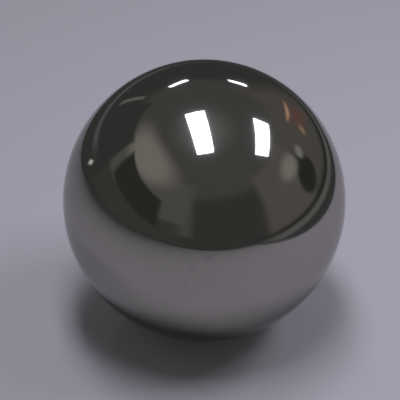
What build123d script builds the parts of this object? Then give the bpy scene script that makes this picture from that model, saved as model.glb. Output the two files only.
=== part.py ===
from build123d import *

import os

# A precision ball: one solid sphere of sintered tungsten carbide, ground and lapped all over.
# The origin is the centre of the ball. +Z is up, through its top point.

# Driving dimension, in millimetres
ball_diameter = 25.4  # 1 inch


def make_ball(diameter):
    """The whole ball, with no flat, hole or parting line, centred on the origin."""
    return Sphere(radius=diameter / 2)


pieces = {"ball": make_ball(ball_diameter)}

os.makedirs("parts", exist_ok=True)
for node, piece in pieces.items():
    piece.label = node
    export_step(piece, f"parts/{node}.step")
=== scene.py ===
import math

import bpy
import numpy as np
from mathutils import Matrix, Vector


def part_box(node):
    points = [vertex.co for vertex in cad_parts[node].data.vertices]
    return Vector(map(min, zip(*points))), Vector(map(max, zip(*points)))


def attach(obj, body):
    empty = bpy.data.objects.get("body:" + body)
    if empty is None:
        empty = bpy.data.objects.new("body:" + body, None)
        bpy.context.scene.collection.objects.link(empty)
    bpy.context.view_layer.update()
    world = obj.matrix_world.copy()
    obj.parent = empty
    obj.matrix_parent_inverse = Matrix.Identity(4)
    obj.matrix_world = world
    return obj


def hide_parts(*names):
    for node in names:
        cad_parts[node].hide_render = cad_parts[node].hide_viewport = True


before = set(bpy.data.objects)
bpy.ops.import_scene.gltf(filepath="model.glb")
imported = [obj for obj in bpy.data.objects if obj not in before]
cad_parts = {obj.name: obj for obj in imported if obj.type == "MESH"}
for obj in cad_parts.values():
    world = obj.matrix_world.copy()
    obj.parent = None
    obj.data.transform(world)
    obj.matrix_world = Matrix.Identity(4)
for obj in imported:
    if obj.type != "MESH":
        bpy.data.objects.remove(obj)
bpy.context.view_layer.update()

# The ball's own radius and centre set the scale of everything below
ballLow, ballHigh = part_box("ball")
ballRadius = (ballHigh.z - ballLow.z) / 2
ballCentre = Vector((0.0, 0.0, (ballHigh.z + ballLow.z) / 2))
print("ball radius", round(ballRadius * 1000, 3), "mm")


def addNode(tree, kind, values=None, **settings):
    # one node, with its own settings and with the sockets that values names filled in
    node = tree.nodes.new(kind)
    for name, value in settings.items():
        setattr(node, name, value)
    for name, value in (values or {}).items():
        node.inputs[name].default_value = value
    return node


def addMath(tree, operation, first, second=None):
    # a Math node, fed by sockets or plain numbers
    node = addNode(tree, "ShaderNodeMath", operation=operation)
    for place, value in enumerate((first, second)):
        if isinstance(value, bpy.types.NodeSocket):
            tree.links.new(value, node.inputs[place])
        elif value is not None:
            node.inputs[place].default_value = value
    return node.outputs[0]


def addRamp(tree, value, fromMin, fromMax, toMin=0.0, toMax=1.0):
    # a smooth step of a value from one range to another
    ends = {"From Min": fromMin, "From Max": fromMax, "To Min": toMin, "To Max": toMax}
    node = addNode(tree, "ShaderNodeMapRange", ends, interpolation_type="SMOOTHSTEP")
    tree.links.new(value, node.inputs["Value"])
    return node.outputs["Result"]


def addMix(tree, factor, first, second):
    # a colour between two others, each a socket or a plain colour
    node = addNode(tree, "ShaderNodeMix", data_type="RGBA")
    tree.links.new(factor, node.inputs["Factor"])
    for socket, value in zip((node.inputs[6], node.inputs[7]), (first, second)):
        if isinstance(value, bpy.types.NodeSocket):
            tree.links.new(value, socket)
        else:
            socket.default_value = (*value, 1.0)
    return node.outputs[2]


def addObject(name, mesh):
    thing = bpy.data.objects.new(name, mesh)
    bpy.context.scene.collection.objects.link(thing)
    return thing


# The ball itself
ballShape = {
    "facesAcross": 120,  # quads along each side of the six patches, an even number
}


def ballSurface(radius, centre, across):
    # A cube blown up into a sphere. On each of its six sides two angles run from -45 to 45 degrees.
    # A point's direction is (tangent of the first, tangent of the second, 1), turned to that side,
    # shortened to length 1 and multiplied by the radius.
    angle = np.linspace(-math.pi / 4, math.pi / 4, across + 1)
    a, b = np.meshgrid(np.tan(angle), np.tan(angle), indexing="ij")
    out = np.ones_like(a)
    sides = [(a, b, out), (out, a, b), (b, out, a), (b, a, -out), (-out, b, a), (a, -out, b)]
    points = np.concatenate([np.stack(side, axis=-1).reshape(-1, 3) for side in sides])
    points /= np.linalg.norm(points, axis=1, keepdims=True)
    corner = np.arange(across * (across + 1)).reshape(across, across + 1)[:, :-1].ravel()
    quads = np.stack([corner, corner + across + 1, corner + across + 2, corner + 1], axis=1)
    quads = np.concatenate([quads + side * (across + 1) ** 2 for side in range(6)])
    # points that two or three sides share become one, so the skin is closed
    _, first, same = np.unique(np.round(points, 9), axis=0, return_index=True, return_inverse=True)
    return points[first] * radius + np.array(centre), same.reshape(-1)[quads]


def makeBall():
    points, quads = ballSurface(ballRadius, ballCentre, ballShape["facesAcross"])
    mesh = bpy.data.meshes.new("carbide_ball")
    mesh.from_pydata(points, [], quads)
    mesh.shade_smooth()
    outward = (points - np.array(ballCentre)) / ballRadius
    mesh.normals_split_custom_set_from_vertices(outward)  # the true sphere's own directions
    mesh.validate()
    return addObject("carbide_ball", mesh)


ball = makeBall()
print("ball surface", len(ball.data.polygons), "quads")

carbide = {
    "tone": (0.382, 0.377, 0.342),  # dark grey metal, a little warm
    "paleTone": (0.396, 0.39, 0.355),
    "rimTint": (0.75, 0.75, 0.75),  # how much of the mirror's brightening is left towards the rim
    "cloudsPerRadius": 1.3,
    "roughness": (0.05, 0.08),  # lapped mirror, and where it is hazy
    "haze": 0.12,  # the wide faint glow that lapping leaves round bright lights
    "hazeRoughness": 0.24,
    "marksPerRadius": 46.0,  # lapping marks
    "markDepth": 0.00000025,  # metres
    # the colour of three soft darker spots on the front of the ball
    "darkSpotTone": (0.33, 0.322, 0.3),
    # each darker spot on the front of the ball by its direction from the ball's middle and its reach in
    # ball radii
    "darkSpots": [
        ((0.025, -0.981, 0.195), 0.034),
        ((-0.085, -0.99, 0.114), 0.03),
        ((-0.119, -0.993, 0.004), 0.028),
    ],
}


def makeDarkSpots(tree, where):
    # 1 at the middle of each darker spot, falling softly to 0 at its reach
    mask = None
    for direction, reach in carbide["darkSpots"]:
        away = addNode(tree, "ShaderNodeVectorMath", operation="DISTANCE")
        away.inputs[1].default_value = Vector(direction).normalized()
        tree.links.new(where, away.inputs[0])
        spot = addRamp(tree, away.outputs["Value"], 0.0, reach, 1.0, 0.0)
        mask = spot if mask is None else addMath(tree, "MAXIMUM", mask, spot)
    return mask


def makeCarbide():
    material = bpy.data.materials.new("lapped_carbide")
    material.use_nodes = True
    tree = material.node_tree
    tree.nodes.clear()
    output = addNode(tree, "ShaderNodeOutputMaterial")
    shader = addNode(tree, "ShaderNodeBsdfPrincipled", {"Metallic": 1.0})
    shader.inputs["Specular Tint"].default_value = (*carbide["rimTint"], 1.0)
    shader.inputs["Coat Weight"].default_value = carbide["haze"]
    shader.inputs["Coat Roughness"].default_value = carbide["hazeRoughness"]
    tree.links.new(shader.outputs["BSDF"], output.inputs["Surface"])
    place = addNode(tree, "ShaderNodeTexCoord")
    inRadii = addNode(tree, "ShaderNodeMapping", {"Scale": (1 / ballRadius,) * 3})
    tree.links.new(place.outputs["Object"], inRadii.inputs["Vector"])
    where = inRadii.outputs["Vector"]

    clouds = addNode(tree, "ShaderNodeTexNoise", {"Scale": carbide["cloudsPerRadius"], "Detail": 3.0})
    tree.links.new(where, clouds.inputs["Vector"])
    cloud = addRamp(tree, clouds.outputs["Fac"], 0.4, 0.65)
    metal = addMix(tree, cloud, carbide["tone"], carbide["paleTone"])
    # three soft darker spots on the front, mixed into the metal's colour
    colour = addMix(tree, makeDarkSpots(tree, where), metal, carbide["darkSpotTone"])
    tree.links.new(colour, shader.inputs["Base Color"])
    tree.links.new(addRamp(tree, cloud, 0.0, 1.0, *carbide["roughness"]), shader.inputs["Roughness"])

    # lapping marks: noise drawn out along one slanting direction
    stretch = addNode(tree, "ShaderNodeMapping", {"Scale": (1.0, 0.08, 0.6), "Rotation": (0.5, 0.9, 0.3)})
    tree.links.new(where, stretch.inputs["Vector"])
    marks = addNode(tree, "ShaderNodeTexNoise", {"Scale": carbide["marksPerRadius"], "Detail": 2.0})
    tree.links.new(stretch.outputs["Vector"], marks.inputs["Vector"])
    bump = addNode(tree, "ShaderNodeBump", {"Strength": 1.0, "Distance": carbide["markDepth"]})
    tree.links.new(marks.outputs["Fac"], bump.inputs["Height"])
    tree.links.new(bump.outputs["Normal"], shader.inputs["Normal"])
    return material


ball.data.materials.append(makeCarbide())
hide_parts("ball")
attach(ball, "root")
print("lapped carbide finish on the ball")

# The pale sheet it stands on, and the dark mat whose edge shows round the sheet. Corners are in ball radii.
sheet = {
    "corners": [(6.0, -8.0), (3.6, 5.7), (-45.0, 12.0), (-45.0, -40.0)],
    "tone": (0.352, 0.338, 0.368),
    "roughness": 0.85,
    "lift": 0.014,  # a trace of light of its own, so that the shadow's core isn't black
}
mat = {
    "corners": [(6.9, -8.9), (4.4, 6.6), (-46.0, 13.1), (-46.0, -41.8)],
    "tone": (0.06, 0.06, 0.064),
    "roughness": 0.9,
    "lift": 0.0,
    "below": 0.01,  # how far under the sheet it lies
}


def makeFlat(name, settings, height):
    corners = [(x * ballRadius, y * ballRadius, height) for x, y in settings["corners"]]
    mesh = bpy.data.meshes.new(name)
    mesh.from_pydata(corners, [], [(0, 1, 2, 3)])
    material = bpy.data.materials.new(name)
    material.use_nodes = True
    shader = material.node_tree.nodes["Principled BSDF"]
    shader.inputs["Base Color"].default_value = (*settings["tone"], 1.0)
    shader.inputs["Roughness"].default_value = settings["roughness"]
    shader.inputs["Specular IOR Level"].default_value = 0.2
    shader.inputs["Emission Color"].default_value = (1.0, 1.0, 1.0, 1.0)
    shader.inputs["Emission Strength"].default_value = settings["lift"]
    mesh.materials.append(material)
    addObject(name, mesh)


makeFlat("pale_sheet", sheet, ballLow.z)
makeFlat("dark_mat", mat, ballLow.z - mat["below"] * ballRadius)
print("pale sheet laid on its mat")

# Soft lamps overhead, rectangles hung in one level plane
lamps = {
    "height": 14.0,  # ball radii above the ball's centre
    "tone": (1.0, 0.985, 1.12),
    # seen from the ball, each lamp's middle is so many steps right and back for one step up
    "panels": {
        "overhead_panel": {
            "middle": (-0.046, -0.058), "sides": (0.217, 0.655), "turn": 11.1, "radiance": 15.1,
        },
        "right_panel": {
            "middle": (0.845, 0.101), "sides": (0.298, 0.645), "turn": 14.2, "radiance": 12.3,
        },
        "far_left_panel": {
            "middle": (-0.34, 1.335), "sides": (0.29, 0.1), "turn": 40.0, "radiance": 13.0,
        },
        "far_right_panel": {
            "middle": (0.484, 1.547), "sides": (0.28, 0.11), "turn": 10.0, "radiance": 13.0,
        },
    },
}


def makeLamps():
    reach = lamps["height"] * ballRadius
    for name, panel in lamps["panels"].items():
        light = bpy.data.lights.new(name, "AREA")
        light.shape = "RECTANGLE"
        light.size = panel["sides"][0] * reach
        light.size_y = panel["sides"][1] * reach
        light.color = lamps["tone"]
        light.energy = panel["radiance"] * math.pi * light.size * light.size_y
        lamp = bpy.data.objects.new(name, light)
        lamp.location = ballCentre + Vector((*panel["middle"], 1.0)) * reach
        lamp.rotation_euler = (0.0, 0.0, math.radians(panel["turn"]))
        bpy.context.scene.collection.objects.link(lamp)


makeLamps()
print(len(lamps["panels"]), "lamps hung")

# The dim surround that the ball mirrors: walls, a ceiling, and soft pale and dark cards in front of them.
# A card's middle is its bearing from straight behind, clockwise, and its height above level, in degrees.
# Its half width and half height are in degrees too. Slant is degrees up for each degree of bearing.
surround = {
    "wall": (0.066, 0.066, 0.066),
    "ceiling": (0.106, 0.104, 0.105),
    "ceilingFrom": (29.0, 38.0),  # degrees above level, where the walls give way to the ceiling
    "glow": (0.2, 0.195, 0.2),  # the ceiling beside the overhead lamp
    "glowReach": (28.0, 4.0),  # degrees from straight up, where the glow starts and where it is full
    "cards": {
        "right": {"tone": (0.135, 0.127, 0.122), "middle": (76, 18), "half": (52, 20), "soft": 3},
        "front right": {"tone": (0.16, 0.15, 0.142), "middle": (104, 18), "half": (24, 22), "soft": 4},
        "left": {"tone": (0.145, 0.143, 0.136), "middle": (-122, 24), "half": (47, 20), "soft": 2.5},
        "warm left": {
            "tone": (0.34, 0.31, 0.302), "middle": (-106, 46), "half": (38, 12), "soft": 6, "oval": True,
        },
        "low left": {
            "tone": (0.078, 0.078, 0.072), "middle": (-116, 8), "half": (46, 8), "soft": 2, "slant": 0.08,
        },
        "dark left": {
            "tone": (0.046, 0.047, 0.042), "middle": (-115, 23), "half": (27, 10), "soft": 1, "slant": 0.24,
        },
        "dark back": {
            "tone": (0.062, 0.067, 0.066), "middle": (-58, 23), "half": (20, 18), "soft": 2, "slant": 0.04,
        },
        "low back": {
            "tone": (0.16, 0.163, 0.172), "middle": (-32, 2), "half": (24, 2), "soft": 1, "slant": -0.2,
        },
        "slim back": {"tone": (0.22, 0.23, 0.225), "middle": (-33, 21), "half": (1.5, 9), "soft": 1.5},
        "dark right": {
            "tone": (0.04, 0.041, 0.04), "middle": (79, 10), "half": (11, 10), "soft": 1.5, "oval": True,
        },
        "small right": {
            "tone": (0.33, 0.32, 0.305), "middle": (71, 20.5), "half": (4, 3.5), "soft": 1.5, "oval": True,
        },
        "slim right": {"tone": (0.045, 0.046, 0.045), "middle": (77.5, 23), "half": (1.6, 5), "soft": 0.8},
        "pale right": {
            "tone": (0.34, 0.33, 0.315), "middle": (90, 25), "half": (11, 6), "soft": 3.5, "oval": True,
        },
        "warm streak": {
            "tone": (0.8, 0.46, 0.34), "middle": (42, 20), "half": (8, 1.3), "soft": 0.7,
            "slant": 0.6, "oval": True,
        },
        "warm spot": {
            "tone": (0.5, 0.36, 0.22), "middle": (50, 14), "half": (3, 2), "soft": 1.2, "oval": True,
        },
        "red patch": {
            "tone": (0.2, 0.11, 0.1), "middle": (41, 12), "half": (7, 5), "soft": 3, "slant": 0.6,
        },
        "left glint": {
            "tone": (1.0, 1.0, 1.0), "middle": (-62, 3), "half": (2, 1.2), "soft": 0.8, "slant": -0.7,
        },
        "low right": {"tone": (0.19, 0.185, 0.19), "middle": (76, -9), "half": (56, 2), "soft": 0.8},
        "low gap": {"tone": (0.04, 0.04, 0.042), "middle": (76, -5), "half": (56, 1.2), "soft": 0.8},
    },
}


def makeCardMask():
    # 1 inside a card, 0 outside it, and a soft step between. Bearing and height are from its middle.
    group = bpy.data.node_groups.new("card_mask", "ShaderNodeTree")
    for name in ("Bearing", "Height", "Half Width", "Half Height", "Softness", "Slant", "Oval"):
        group.interface.new_socket(name, in_out="INPUT", socket_type="NodeSocketFloat")
    group.interface.new_socket("Mask", in_out="OUTPUT", socket_type="NodeSocketFloat")
    enter = addNode(group, "NodeGroupInput").outputs
    leave = addNode(group, "NodeGroupOutput").inputs
    rise = addMath(group, "MULTIPLY", enter["Bearing"], enter["Slant"])
    across = addMath(group, "DIVIDE", enter["Bearing"], enter["Half Width"])
    level = addMath(group, "SUBTRACT", enter["Height"], rise)
    upward = addMath(group, "DIVIDE", level, enter["Half Height"])
    sideways = addMath(group, "ABSOLUTE", across)
    farther = addMath(group, "MAXIMUM", sideways, addMath(group, "ABSOLUTE", upward))
    acrossSquared = addMath(group, "MULTIPLY", across, across)
    upwardSquared = addMath(group, "MULTIPLY", upward, upward)
    slope = addMath(group, "SQRT", addMath(group, "ADD", acrossSquared, upwardSquared))
    # share of the way out from the middle: a rectangle takes the larger of the two, an oval their slope
    oval = addMath(group, "MULTIPLY", slope, enter["Oval"])
    rectangle = addMath(group, "MULTIPLY", farther, addMath(group, "SUBTRACT", 1.0, enter["Oval"]))
    inside = addMath(group, "SUBTRACT", 1.0, addMath(group, "ADD", oval, rectangle))
    depth = addMath(group, "MULTIPLY", inside, enter["Half Height"])
    steps = addMath(group, "DIVIDE", depth, enter["Softness"])
    group.links.new(addRamp(group, steps, -1.0, 1.0), leave["Mask"])
    return group


def makeSurround():
    world = bpy.data.worlds.new("dim_surround")
    bpy.context.scene.world = world
    world.use_nodes = True
    tree = world.node_tree
    background = tree.nodes["Background"]
    place = addNode(tree, "ShaderNodeTexCoord")
    parts = addNode(tree, "ShaderNodeSeparateXYZ")
    tree.links.new(place.outputs["Generated"], parts.inputs["Vector"])
    # a direction's bearing is the arctangent of x over y, and its height the arcsine of z
    turned = addMath(tree, "ARCTAN2", parts.outputs["X"], parts.outputs["Y"])
    bearing = addMath(tree, "DEGREES", turned)
    height = addMath(tree, "DEGREES", addMath(tree, "ARCSINE", parts.outputs["Z"]))
    ceiling = addRamp(tree, height, *surround["ceilingFrom"])
    colour = addMix(tree, ceiling, surround["wall"], surround["ceiling"])
    fromTop = addMath(tree, "SUBTRACT", 90.0, height)
    glow = addRamp(tree, fromTop, *surround["glowReach"])
    colour = addMix(tree, glow, colour, surround["glow"])
    cardMask = makeCardMask()
    for card in surround["cards"].values():
        mask = addNode(tree, "ShaderNodeGroup", node_tree=cardMask)
        mask.inputs["Half Width"].default_value = card["half"][0]
        mask.inputs["Half Height"].default_value = card["half"][1]
        mask.inputs["Softness"].default_value = card["soft"]
        mask.inputs["Slant"].default_value = card.get("slant", 0.0)
        mask.inputs["Oval"].default_value = float(card.get("oval", False))
        tree.links.new(addMath(tree, "SUBTRACT", bearing, card["middle"][0]), mask.inputs["Bearing"])
        tree.links.new(addMath(tree, "SUBTRACT", height, card["middle"][1]), mask.inputs["Height"])
        colour = addMix(tree, mask.outputs["Mask"], colour, card["tone"])
    tree.links.new(colour, background.inputs["Color"])


makeSurround()
print("dim surround set")

# The camera
viewpoint = {
    "elevation": 33.0,  # degrees above level
    "distance": 10.0,  # ball radii
    "ballShare": 0.707,  # of the picture's width
    "aim": (-0.0297, 0.0036),  # ball radii right of and above the ball's centre
}


def makeCamera():
    tilt = math.radians(viewpoint["elevation"])
    back = Vector((0.0, -math.cos(tilt), math.sin(tilt)))
    up = Vector((0.0, math.sin(tilt), math.cos(tilt)))
    across, above = viewpoint["aim"]
    aim = ballCentre + (Vector((1.0, 0.0, 0.0)) * across + up * above) * ballRadius
    data = bpy.data.cameras.new("camera")
    # the tangent of the ball's half angle is 1 over the root of the squared distance less 1
    data.lens = data.sensor_width / 2 * viewpoint["ballShare"] * math.sqrt(viewpoint["distance"] ** 2 - 1)
    data.clip_start = ballRadius * 0.1
    data.clip_end = ballRadius * 200
    camera = bpy.data.objects.new("camera", data)
    camera.location = aim + back * (viewpoint["distance"] * ballRadius)
    camera.rotation_euler = (math.pi / 2 - tilt, 0.0, 0.0)
    bpy.context.scene.collection.objects.link(camera)
    bpy.context.scene.camera = camera


makeCamera()
bpy.context.scene.view_settings.view_transform = "Standard"
print("camera placed")
